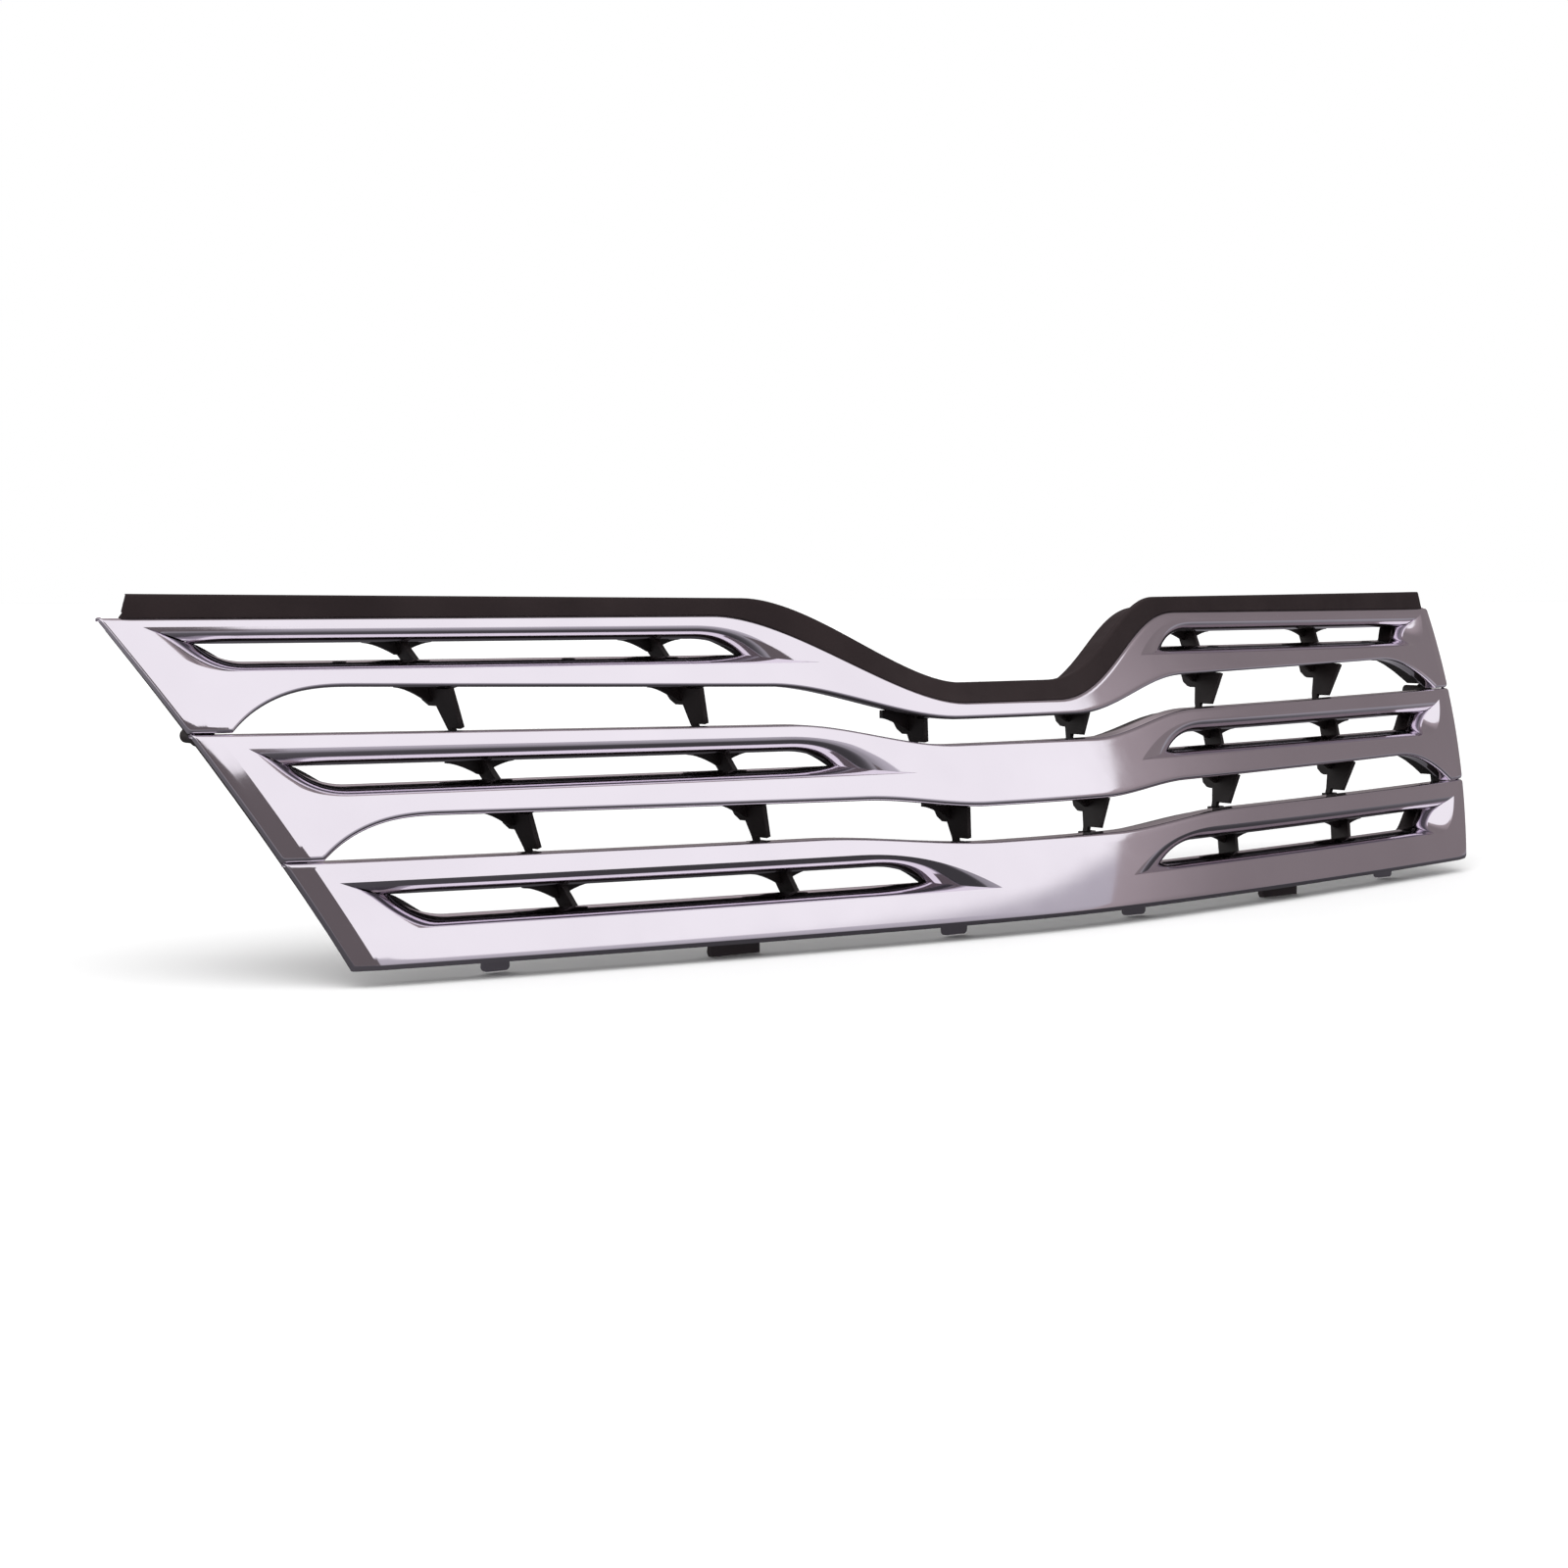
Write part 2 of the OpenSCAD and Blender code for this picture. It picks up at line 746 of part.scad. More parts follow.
module top_strip_screws() {
    color(zinc)
        placed()
            both()
                for (x = strip_screw_x)
                    at_strip_boss(x)
                        translate([0, 0, strip_shelf_t + gap / 4])
                            strip_screw();
}

module end_foam_left() {
    color(foam)
        placed() mirror([1, 0, 0]) end_foam();
}

module end_foam_right() {
    color(foam)
        placed() end_foam();
}

upper_bar();
middle_bar();
lower_bar();
upper_carrier();
middle_carrier();
lower_carrier();
top_strip();
end_plate_left();
end_plate_right();
bottom_clip_left();
bottom_clip_right();
upper_bar_screws();
middle_bar_screws();
lower_bar_screws();
upper_strut_screws();
lower_strut_screws();
end_plate_screws();
top_strip_screws();
end_foam_left();
end_foam_right();
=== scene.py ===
import json
import math

import bmesh
import bpy
from mathutils import Matrix, Vector


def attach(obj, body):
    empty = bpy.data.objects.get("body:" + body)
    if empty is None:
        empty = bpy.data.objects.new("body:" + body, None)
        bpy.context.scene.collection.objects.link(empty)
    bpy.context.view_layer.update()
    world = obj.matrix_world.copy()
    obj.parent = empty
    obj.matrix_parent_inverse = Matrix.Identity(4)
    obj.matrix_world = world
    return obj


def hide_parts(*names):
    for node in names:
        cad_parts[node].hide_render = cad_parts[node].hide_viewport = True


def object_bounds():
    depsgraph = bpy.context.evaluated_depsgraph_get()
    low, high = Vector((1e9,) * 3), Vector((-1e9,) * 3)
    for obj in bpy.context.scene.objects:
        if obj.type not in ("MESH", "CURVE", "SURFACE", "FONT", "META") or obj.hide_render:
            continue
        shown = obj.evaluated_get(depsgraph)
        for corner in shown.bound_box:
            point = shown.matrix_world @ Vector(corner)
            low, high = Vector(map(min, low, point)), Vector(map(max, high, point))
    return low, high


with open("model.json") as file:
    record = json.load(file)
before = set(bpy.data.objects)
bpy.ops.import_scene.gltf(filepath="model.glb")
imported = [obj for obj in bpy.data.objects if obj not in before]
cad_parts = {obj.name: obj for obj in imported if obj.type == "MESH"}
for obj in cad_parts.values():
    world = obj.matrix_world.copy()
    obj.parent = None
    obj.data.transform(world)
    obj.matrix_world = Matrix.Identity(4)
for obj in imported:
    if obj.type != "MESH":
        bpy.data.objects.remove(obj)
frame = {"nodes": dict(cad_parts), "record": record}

CAD_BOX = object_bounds()
MM = 0.001
NODES = frame["nodes"]

# ---------------------------------------------------------------- the design, in millimetres
# The same surfaces and edges as the CAD source: x from the centre, z from the chrome's bottom edge.
FACE_FRONT, PLAN_SLOPE, NOSE_LEN, PLAN_CROWN = -176, 0.094, 60, 0.00011
LEAN_SLOPE, LEAN_CROWN = 0.29, 0.00113
HALF_BOTTOM, END_SLOPE = 470, 0.49
RIM_DEPTH, SLOT_DEPTH, SKIN_T = 13, 15, 1.7
# The visual bars only: the slots' lower lip stands higher, and the slanted ends bow inward
LIP_RISE = 1.8
END_BOW, BOW_REACH, BOW_MIDDLE, BOW_HALF = 1.5, 45, 110, 115
# The strip: gap over the bar, set-back of its front, depth of its shelf, half its length
STRIP_GAP, STRIP_BACK, STRIP_SHELF, STRIP_END = 0.05, 1.3, 36.2, 550
SHELF_TOP, TAB_T, HOLE_BACK = 3.1, 2.5, 36
INNER_TAB_X, OUTER_TAB_X = 230, 450

# Studio cards, seen in reflections only: glow at their two edges, and their colours.
# Azimuths and elevations are in degrees.
CARD_RADIUS, CARD_LOW, SIDE_TOP = 4.0, -4, 88
FRONT_FROM, FRONT_GLOW, FRONT_TOP = -80, (0.3, 0.5), 17.5
SIDE_GLOW, SIDE_TO = (0.34, 0.2), 215
BACK_FROM, BACK_GLOW = 122, (0.2, 0.36)
FLOOR_GLOW = (0.05, 0.3)
DARK_GLOW, DARK_AZIMUTHS, DARK_TOP = 0.12, (-80, -3), 40
LAVENDER, WARM = (1.0, 0.97, 1.04), (1.12, 0.98, 1.0)

# Edges: centre height, shoulder height, x where the wave starts and ends, outward slope
LOWER_TOP = (48, 55.5, 50, 180, 0.0055)
MIDDLE_BOTTOM = (69, 76, 50, 140, 0.011)
MIDDLE_TOP = (106.5, 121.5, 60, 175, 0.0095)
UPPER_BOTTOM = (121.5, 144, 50, 180, 0.018)
UPPER_TOP = (131.5, 186.7, 40, 200, 0)
STRIP_TOP = (144, 197, 38, 180, 0.008)
MIDDLE_ARCH = (405, 477, 57.6)
UPPER_ARCH = (435, 509, 125.6)
ARCH_POWER = 2.6

# Slots: tip x, rise length, bottom z, top z, x where the outer end starts and ends, slope,
# power of the outer end's curve
RECESS = {"upper": (139, 81, 158, 182, 492, 541, 0, 2.9),
          "middle": (97, 90, 91, 115, 450, 504, 0.007, 2.9),
          "lower": (57, 103, 21, 45.5, 425, 472, 0.003, 2.9)}
MOUTH = {"upper": (179, 35, 161, 172.5, 485, 512, 0, 2.4),
         "middle": (142, 35, 94.5, 105.5, 448, 479, 0.004, 2.4),
         "lower": (99, 40, 24, 36.5, 408, 441, 0.004, 2.4)}
RISE_POWER = 2.35


def ease(t):
    k = min(max(t, 0), 1)
    return k * k * (3 - 2 * k)


def mix(a, b, t):
    return a + (b - a) * t


def face_y(x, z):
    plan = PLAN_SLOPE * (math.hypot(x, NOSE_LEN) - NOSE_LEN) + PLAN_CROWN * x * x
    return FACE_FRONT + plan + LEAN_SLOPE * z + LEAN_CROWN * z * z


def end_x(z):
    return HALF_BOTTOM + END_SLOPE * z


def edge_z(e, x):
    x = abs(x)
    return e[0] + (e[1] - e[0]) * ease((x - e[2]) / (e[3] - e[2])) + e[4] * max(x - e[3], 0)


def arch_z(e, arch, x):
    x = abs(x)
    start, end, foot = arch
    if x < start:
        return edge_z(e, x)
    drop = (edge_z(e, end) - foot) * ((x - start) / (end - start)) ** ARCH_POWER
    return max(foot, edge_z(e, x) - drop)


def slot_top(s, x):
    rise = 1 - (1 - min(max((x - s[0]) / s[1], 0), 1)) ** RISE_POWER
    return s[2] + s[6] * max(x - s[0] - s[1], 0) + (s[3] - s[2]) * rise


def slot_bottom(s, x):
    t = min(max((x - s[4]) / (s[5] - s[4]), 0), 1)
    return s[2] + (slot_top(s, s[5]) - s[2]) * t ** s[7]


# The row frame's origin: between the outer fixing holes, on top of their tabs
STRIP_BASE = edge_z(UPPER_TOP, OUTER_TAB_X)
FIX_Z = STRIP_BASE + SHELF_TOP
FIX_Y = face_y(OUTER_TAB_X, STRIP_BASE) + 3 + 0.1 * (FIX_Z - STRIP_BASE) + HOLE_BACK


def place(x, y, z):
    """A point of the design, in the row frame, in metres."""
    return Vector((x, y - FIX_Y, z - FIX_Z)) * MM


def on_face(x, z, depth):
    return place(x, face_y(x, z) + depth, z)


# ---------------------------------------------------------------- materials
def new_material(name):
    mat = bpy.data.materials.new(name)
    mat.use_nodes = True
    tree = mat.node_tree
    return mat, tree, tree.nodes["Principled BSDF"]


def noise_node(tree, scale, detail=4, rough=0.5):
    coords = tree.nodes.new("ShaderNodeTexCoord")
    tex = tree.nodes.new("ShaderNodeTexNoise")
    tex.inputs["Scale"].default_value = scale
    tex.inputs["Detail"].default_value = detail
    tex.inputs["Roughness"].default_value = rough
    tree.links.new(coords.outputs["Object"], tex.inputs["Vector"])
    return tex


def ranged(tree, source, low, high, from_low=0.3, from_high=0.7):
    """Maps a node's output from one range to another."""
    node = tree.nodes.new("ShaderNodeMapRange")
    node.inputs["From Min"].default_value = from_low
    node.inputs["From Max"].default_value = from_high
    node.inputs["To Min"].default_value = low
    node.inputs["To Max"].default_value = high
    tree.links.new(source, node.inputs["Value"])
    return node.outputs["Result"]


def tinted(tree, source, dark, light):
    ramp = tree.nodes.new("ShaderNodeValToRGB")
    ramp.color_ramp.elements[0].position = 0.3
    ramp.color_ramp.elements[1].position = 0.7
    ramp.color_ramp.elements[0].color = (*dark, 1)
    ramp.color_ramp.elements[1].color = (*light, 1)
    tree.links.new(source, ramp.inputs["Fac"])
    return ramp.outputs["Color"]


def bump(tree, shader, source, strength, distance):
    node = tree.nodes.new("ShaderNodeBump")
    node.inputs["Strength"].default_value = strength
    node.inputs["Distance"].default_value = distance
    tree.links.new(source, node.inputs["Height"])
    tree.links.new(node.outputs["Normal"], shader.inputs["Normal"])


def chrome_material():
    """Plated plastic: a bright mirror with faint moulding waves and slightly uneven gloss."""
    mat, tree, shader = new_material("chrome")
    shader.inputs["Metallic"].default_value = 1
    film = noise_node(tree, 14, 3)
    tree.links.new(tinted(tree, film.outputs["Fac"], (0.82, 0.765, 0.845), (0.86, 0.805, 0.885)),
                   shader.inputs["Base Color"])
    haze = noise_node(tree, 45, 5)
    tree.links.new(ranged(tree, haze.outputs["Fac"], 0.05, 0.10), shader.inputs["Roughness"])
    waves = noise_node(tree, 26, 1)
    bump(tree, shader, waves.outputs["Fac"], 0.25, 0.0002)
    return mat


def plastic_material(name, dark, light, rough, shine, grain_scale, grain):
    """Moulded black plastic: fine spark-eroded grain, patchy sheen."""
    mat, tree, shader = new_material(name)
    shader.inputs["Specular IOR Level"].default_value = shine
    patches = noise_node(tree, 18, 5)
    tree.links.new(tinted(tree, patches.outputs["Fac"], dark, light), shader.inputs["Base Color"])
    sheen = noise_node(tree, 60, 4)
    tree.links.new(ranged(tree, sheen.outputs["Fac"], rough - 0.06, rough + 0.08),
                   shader.inputs["Roughness"])
    texture = noise_node(tree, grain_scale, 6, 0.65)
    bump(tree, shader, texture.outputs["Fac"], 0.45, grain)
    return mat


def zinc_material():
    """Zinc-plated steel: dull metal with cloudy passivation."""
    mat, tree, shader = new_material("zinc")
    shader.inputs["Metallic"].default_value = 1
    cloud = noise_node(tree, 260, 5)
    tree.links.new(tinted(tree, cloud.outputs["Fac"], (0.50, 0.49, 0.44), (0.68, 0.67, 0.64)),
                   shader.inputs["Base Color"])
    tree.links.new(ranged(tree, cloud.outputs["Fac"], 0.26, 0.42), shader.inputs["Roughness"])
    scratch = noise_node(tree, 1800, 3)
    bump(tree, shader, scratch.outputs["Fac"], 0.3, 0.00005)
    return mat


def foam_material():
    """Closed-cell foam: dull, with open pores on the cut faces."""
    mat, tree, shader = new_material("foam")
    coords = tree.nodes.new("ShaderNodeTexCoord")
    cells = tree.nodes.new("ShaderNodeTexVoronoi")
    cells.inputs["Scale"].default_value = 900
    tree.links.new(coords.outputs["Object"], cells.inputs["Vector"])
    pores = tinted(tree, cells.outputs["Distance"], (0.05, 0.05, 0.052), (0.022, 0.022, 0.024))
    tree.links.new(pores, shader.inputs["Base Color"])
    shader.inputs["Roughness"].default_value = 0.95
    bump(tree, shader, cells.outputs["Distance"], 0.8, 0.0004)
    return mat


def floor_material():
    mat, tree, shader = new_material("floor")
    soft = noise_node(tree, 3, 3)
    tree.links.new(tinted(tree, soft.outputs["Fac"], (0.90, 0.90, 0.90), (0.93, 0.93, 0.93)),
                   shader.inputs["Base Color"])
    shader.inputs["Roughness"].default_value = 0.7
    return mat


def glow_material():
    """A studio card's cloth: each point glows by its 'glow' colour and thins out by its 'cover'."""
    mat, tree, shader = new_material("card_cloth")
    tree.nodes.remove(shader)
    glow = tree.nodes.new("ShaderNodeAttribute")
    glow.attribute_name = "glow"
    cover = tree.nodes.new("ShaderNodeAttribute")
    cover.attribute_name = "cover"
    emit = tree.nodes.new("ShaderNodeEmission")
    clear = tree.nodes.new("ShaderNodeBsdfTransparent")
    blend = tree.nodes.new("ShaderNodeMixShader")
    weave = noise_node(tree, 0.8, 2)
    tree.links.new(glow.outputs["Color"], emit.inputs["Color"])
    tree.links.new(ranged(tree, weave.outputs["Fac"], 0.96, 1.04), emit.inputs["Strength"])
    tree.links.new(cover.outputs["Fac"], blend.inputs["Fac"])
    tree.links.new(clear.outputs["BSDF"], blend.inputs[1])
    tree.links.new(emit.outputs["Emission"], blend.inputs[2])
    tree.links.new(blend.outputs["Shader"], tree.nodes["Material Output"].inputs["Surface"])
    return mat


CHROME = chrome_material()
BLACK = plastic_material("black_plastic", (0.008, 0.0055, 0.0058), (0.016, 0.011, 0.0115),
                         0.42, 0.3, 1500, 0.00008)
STRIP = plastic_material("strip_plastic", (0.017, 0.0105, 0.0115), (0.024, 0.0155, 0.0165),
                         0.55, 0.16, 1100, 0.00012)
CARD = glow_material()
CLIP = plastic_material("clip_plastic", (0.034, 0.025, 0.029), (0.048, 0.037, 0.042),
                        0.42, 0.25, 1500, 0.00008)
ZINC = zinc_material()
FOAM = foam_material()

CAD_LOOKS = {"chrome": CHROME, "black_plastic": BLACK, "strip_plastic": STRIP,
             "clip_plastic": CLIP, "zinc": ZINC, "foam": FOAM}


def dress_cad_nodes():
    for part in frame["record"]["subparts"]:
        node = NODES[part["node"]]
        node.data.materials.clear()
        node.data.materials.append(CAD_LOOKS[part["material_slot"]])


# ---------------------------------------------------------------- chrome bars
def drawn_in(x, z, depth):
    """Bows the bars' slanted ends inward a little, most at half height."""
    near = ease((abs(x) - end_x(z) + BOW_REACH) / BOW_REACH)
    bow = END_BOW * max(0, 1 - ((z - BOW_MIDDLE) / BOW_HALF) ** 2)
    return x - math.copysign(bow * near, x), z, depth


class Skin:
    """A mesh of quads built from grids of (x, z, depth) points, welded where they meet."""

    def __init__(self):
        self.bm = bmesh.new()
        self.verts = {}
        self.sharp = set()

    def vert(self, point):
        key = tuple(round(c, 3) for c in point)
        if key not in self.verts:
            self.verts[key] = self.bm.verts.new(on_face(*drawn_in(*point)))
        return self.verts[key]

    def grid(self, rows):
        """Joins rows of points with quads, leaving out those with no area."""
        for low, high in zip(rows, rows[1:]):
            for i in range(len(low) - 1):
                ring = []
                for p in (low[i], low[i + 1], high[i + 1], high[i]):
                    v = self.vert(p)
                    if v not in ring:
                        ring.append(v)
                if len(ring) > 2 and not self.bm.faces.get(ring):
                    self.bm.faces.new(ring)

    def crease(self, points):
        for a, b in zip(points, points[1:]):
            self.sharp.add(frozenset((self.vert(a), self.vert(b))))

    def finish(self, name, sharp_angle):
        bm = self.bm
        bmesh.ops.recalc_face_normals(bm, faces=bm.faces)
        facing = sum(f.normal.y * f.calc_area() for f in bm.faces)
        if facing > 0:
            bmesh.ops.reverse_faces(bm, faces=bm.faces)
        for face in bm.faces:
            face.smooth = True
        for edge in bm.edges:
            corner = len(edge.link_faces) == 2 and edge.calc_face_angle() > sharp_angle
            edge.smooth = not (corner or frozenset(edge.verts) in self.sharp)
        mesh = bpy.data.meshes.new(name)
        bm.to_mesh(mesh)
        bm.free()
        return mesh


def mirrored(row):
    """A row of points of the right half, carried on over the left half."""
    left = [(-x, z, d) for x, z, d in reversed(row) if abs(x) > 1e-6]
    return left + list(row)


def solve(f, a, b):
    """Where f crosses zero between a and b; f(a) < 0 < f(b)."""
    for _ in range(40):
        c = (a + b) / 2
        if f(c) < 0:
            a = c
        else:
            b = c
    return (a + b) / 2


def spaced(a, b, step):
    n = max(1, round((b - a) / step))
    return [mix(a, b, i / n) for i in range(n)]


class Bar:
    """The shape of one chrome bar's right half, as slanted columns crossed by rows."""

    EDGE_R, TOP_R, END_R, END_SQUEEZE = 3.6, 2.0, 1.2, 0.9
    SHEAR_REACH, BAND_REACH, CURVE_REACH = 150, 95, 60
    FACET_W, FACET_SLOPE, END_DEPTH, END_BLEND = 12.5, 0.16, 8, 9
    ROLL = (0, 0.05, 0.19, 0.42, 0.7, 1)
    TOP_ROUNDNESS, BOTTOM_ROUNDNESS = 0.72, 0.5

    def __init__(self, key, low, high, foot_x):
        self.low, self.high, self.foot_x = low, high, foot_x
        self.recess, self.mouth = RECESS[key], MOUTH[key]
        self.tip_z = slot_top(self.recess, self.recess[5])
        self.facet_x = end_x(self.tip_z) - self.FACET_W
        s = self.recess
        self.inner_share = (s[2] - low(s[0])) / (high(s[0]) - low(s[0]))

    def anchors(self, x):
        """Heights at which the two bands of the face start, below and above the slot."""
        s = self.recess
        if x <= s[0]:
            z = mix(self.low(x), self.high(x), self.inner_share)
            return z, z
        if x >= s[5]:
            return self.tip_z, self.tip_z
        return slot_bottom(s, x), slot_top(s, x)

    def lean(self, x):
        return END_SLOPE * ease((x - self.recess[5] + self.SHEAR_REACH) / self.SHEAR_REACH)

    def band_ends(self, x):
        """The column's lowest and highest points, each as (x, z)."""
        below, above = self.anchors(x)
        lean = self.lean(x)
        z0 = solve(lambda z: z - self.low(x + lean * (z - below)), below - self.BAND_REACH, below)
        z1 = solve(lambda z: z - self.high(x + lean * (z - above)), above, above + self.BAND_REACH)
        return (x + lean * (z0 - below), z0), (x + lean * (z1 - above), z1)

    def rounding(self, x, z, z0, z1):
        """How far the rolled edges drop behind the face."""
        total = 0
        to_end = (end_x(z) - x) * self.END_SQUEEZE
        for gap, r in ((z - z0, self.EDGE_R), (z1 - z, self.TOP_R), (to_end, self.END_R)):
            if gap < r:
                total += r - math.sqrt(max(0, r * r - (r - gap) ** 2))
        return min(total, self.EDGE_R) + self.FACET_SLOPE * max(x - end_x(z) + self.FACET_W, 0)

    def rim_depth(self, x, z):
        """How deep the rim is: shallower along the slanted end."""
        return mix(RIM_DEPTH, self.END_DEPTH, ease((x - end_x(z) + self.END_BLEND) / self.END_BLEND))

    def column(self, x):
        """Points up the face: those below the slot, then those above it."""
        below, above = self.anchors(x)
        (x0, z0), (x1, z1) = self.band_ends(x)
        lean = self.lean(x)
        low_zs = [z0 + self.EDGE_R * b for b in self.ROLL]
        low_zs += [mix(z0 + self.EDGE_R, below, t / 8) for t in range(1, 9)]
        high_zs = [mix(above, z1 - self.TOP_R, t / 6) for t in range(6)]
        high_zs += [z1 - self.TOP_R * b for b in reversed(self.ROLL)]
        lower = [(x + lean * (z - below), z) for z in low_zs]
        upper = [(x + lean * (z - above), z) for z in high_zs]
        return [[(px, pz, self.rounding(px, pz, z0, z1)) for px, pz in band]
                for band in (lower, upper)]

    def stations(self):
        """The x of every column: close together where the outline curves and at the end."""
        s = self.recess
        last = end_x(self.tip_z)
        curve = s[4] - self.CURVE_REACH
        xs = spaced(0, s[0], 6)
        xs += [s[0] + s[1] * (i / 24) ** 1.5 for i in range(24)]
        xs += spaced(s[0] + s[1], curve, 7)
        xs += spaced(curve, s[4], 3.5)
        xs += spaced(s[4], s[5], 2.4)
        xs += spaced(s[5], self.facet_x, 2.4) + spaced(self.facet_x, last - 3, 2.4)
        xs += [last - self.END_R / self.END_SQUEEZE * b for b in reversed(self.ROLL)]
        if self.foot_x:
            corner = solve(lambda x: self.band_ends(x)[0][0] - self.foot_x, curve, last)
            kept = (s[4], s[5], self.facet_x)
            xs = [x for x in xs if abs(x - corner) > 1 or x in kept] + [corner]
        return sorted(set(xs))

    def mouth_x(self, x):
        """The x on the mouth that a column of the recess runs in to."""
        s, m = self.recess, self.mouth
        keys = ((s[0], m[0]), (s[0] + s[1], m[0] + m[1]), (s[4], m[4]), (s[5], m[5]))
        for (a, p), (b, q) in zip(keys, keys[1:]):
            if x <= b:
                return mix(p, q, (x - a) / (b - a))
        return m[5]

    def cove(self, x, edge, steps=14):
        """Points from the slot's edge in the face, rolling in to its mouth."""
        s, m = self.recess, self.mouth
        mx = self.mouth_x(x)
        z, mz = edge(s, x), edge(m, mx)
        roundness = self.TOP_ROUNDNESS
        if edge is slot_bottom:
            mz = min(mz + LIP_RISE, slot_top(m, mx))
            roundness = self.BOTTOM_ROUNDNESS
        points = []
        for j in range(steps + 1):
            t = j / steps * math.pi / 2
            across = mix(j / steps, math.sin(t), roundness)
            back = mix(j / steps, 1 - math.cos(t), roundness)
            points.append((mix(x, mx, across), mix(z, mz, across), SLOT_DEPTH * back))
        return points


def bar_mesh(name, key, low, high, foot_x):
    """One bar's skin: face, slots and rim. foot_x is where its arch ends, if it has one."""
    bar = Bar(key, low, high, foot_x)
    skin = Skin()
    xs = bar.stations()
    columns = [bar.column(x) for x in xs]
    roll = len(bar.ROLL) - 1
    lower, upper = columns[xs.index(bar.facet_x)]
    for side in (1, -1):
        for band in (lower[roll:], upper[:-roll]):
            skin.crease([(side * x, z, d) for x, z, d in band])
    for band in (0, 1):
        rows = [mirrored([c[band][j] for c in columns]) for j in range(len(columns[0][band]))]
        skin.grid(rows)
    s = bar.recess
    inside = [x for x in xs if s[0] <= x <= s[5]]
    for edge in (slot_top, slot_bottom):
        coves = [bar.cove(x, edge) for x in inside]
        rows = [[c[j] for c in coves] for j in range(len(coves[0]))]
        for side in (1, -1):
            sided = [[(side * x, z, d) for x, z, d in row] for row in rows]
            skin.grid(sided)
            skin.crease(sided[0])
            skin.crease([row[0] for row in sided])
            skin.crease([row[-1] for row in sided])
    ring = mirrored([c[0][0] for c in columns])
    ring += [(x, z, d) for x, z, d in columns[-1][0][1:] + columns[-1][1][1:]]
    ring += list(reversed(mirrored([c[1][-1] for c in columns])))[1:]
    ring += [(-x, z, d) for x, z, d in reversed(columns[-1][0][:-1] + columns[-1][1][:-1])]
    walls = [[(x, z, mix(d, bar.rim_depth(abs(x), z), j / 5)) for x, z, d in ring]
             for j in range(6)]
    skin.grid(walls)
    return skin.finish(name, math.radians(30))


def add_piece(name, mesh, material, replaced=()):
    piece = bpy.data.objects.new(name, mesh)
    bpy.context.scene.collection.objects.link(piece)
    mesh.materials.clear()
    mesh.materials.append(material)
    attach(piece, "root")
    if replaced:
        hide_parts(*replaced)
    return piece


def thicken(piece, thickness, offset=-1):
    solid = piece.modifiers.new("wall", "SOLIDIFY")
    solid.thickness = thickness * MM
    solid.offset = offset
    solid.use_even_offset = False
    solid.use_rim = True


def soften(piece, width):
    bevel = piece.modifiers.new("rounding", "BEVEL")
    bevel.width = width * MM
    bevel.segments = 3
    bevel.limit_method = "ANGLE"
    bevel.angle_limit = math.radians(50)
    bevel.harden_normals = True


def chrome_bars():
    shapes = {
        "upper": (lambda x: arch_z(UPPER_BOTTOM, UPPER_ARCH, x),
                  lambda x: edge_z(UPPER_TOP, x), UPPER_ARCH[1]),
        "middle": (lambda x: arch_z(MIDDLE_BOTTOM, MIDDLE_ARCH, x),
                   lambda x: edge_z(MIDDLE_TOP, x), MIDDLE_ARCH[1]),
        "lower": (lambda x: 0, lambda x: edge_z(LOWER_TOP, x), None),
    }
    for key, (low, high, foot_x) in shapes.items():
        mesh = bar_mesh(key + "_chrome_bar", key, low, high, foot_x)
        piece = add_piece(key + "_chrome_bar", mesh, CHROME, [key + "_bar"])
        thicken(piece, SKIN_T)


# ---------------------------------------------------------------- plates and tabs
def arc(cx, cy, r, start, end, steps=6):
    """Points on an arc, with its angles in quarter turns."""
    angles = [mix(start, end, i / steps) * math.pi / 2 for i in range(steps + 1)]
    return [(cx + r * math.cos(a), cy + r * math.sin(a)) for a in angles]


def rounded_box(u0, u1, v0, v1, r_low, r_high):
    """A rectangle with rounded corners: one radius at its low v side, one at its high v side."""
    return (arc(u1 - r_high, v1 - r_high, r_high, 0, 1)
            + arc(u0 + r_high, v1 - r_high, r_high, 1, 2)
            + arc(u0 + r_low, v0 + r_low, r_low, 2, 3)
            + arc(u1 - r_low, v0 + r_low, r_low, 3, 4))


def plate(name, loops, thickness, to_point, material, rounding=0.35):
    """A flat piece from closed outlines in its middle plane; inner outlines become holes."""
    bm = bmesh.new()
    for loop in loops:
        ring = [bm.verts.new(to_point(u, v)) for u, v in loop]
        for a, b in zip(ring, ring[1:] + ring[:1]):
            bm.edges.new((a, b))
    bmesh.ops.triangle_fill(bm, use_beauty=True, edges=bm.edges[:])
    bmesh.ops.recalc_face_normals(bm, faces=bm.faces)
    mesh = bpy.data.meshes.new(name)
    bm.to_mesh(mesh)
    bm.free()
    piece = add_piece(name, mesh, material)
    thicken(piece, thickness, 0)
    soften(piece, rounding)
    return piece


def strip_tilt(x):
    """How far the strip's front leans back per millimetre of height: more in the dip."""
    return 0.1 + 0.5 * (1 - ease(abs(x) / 200))


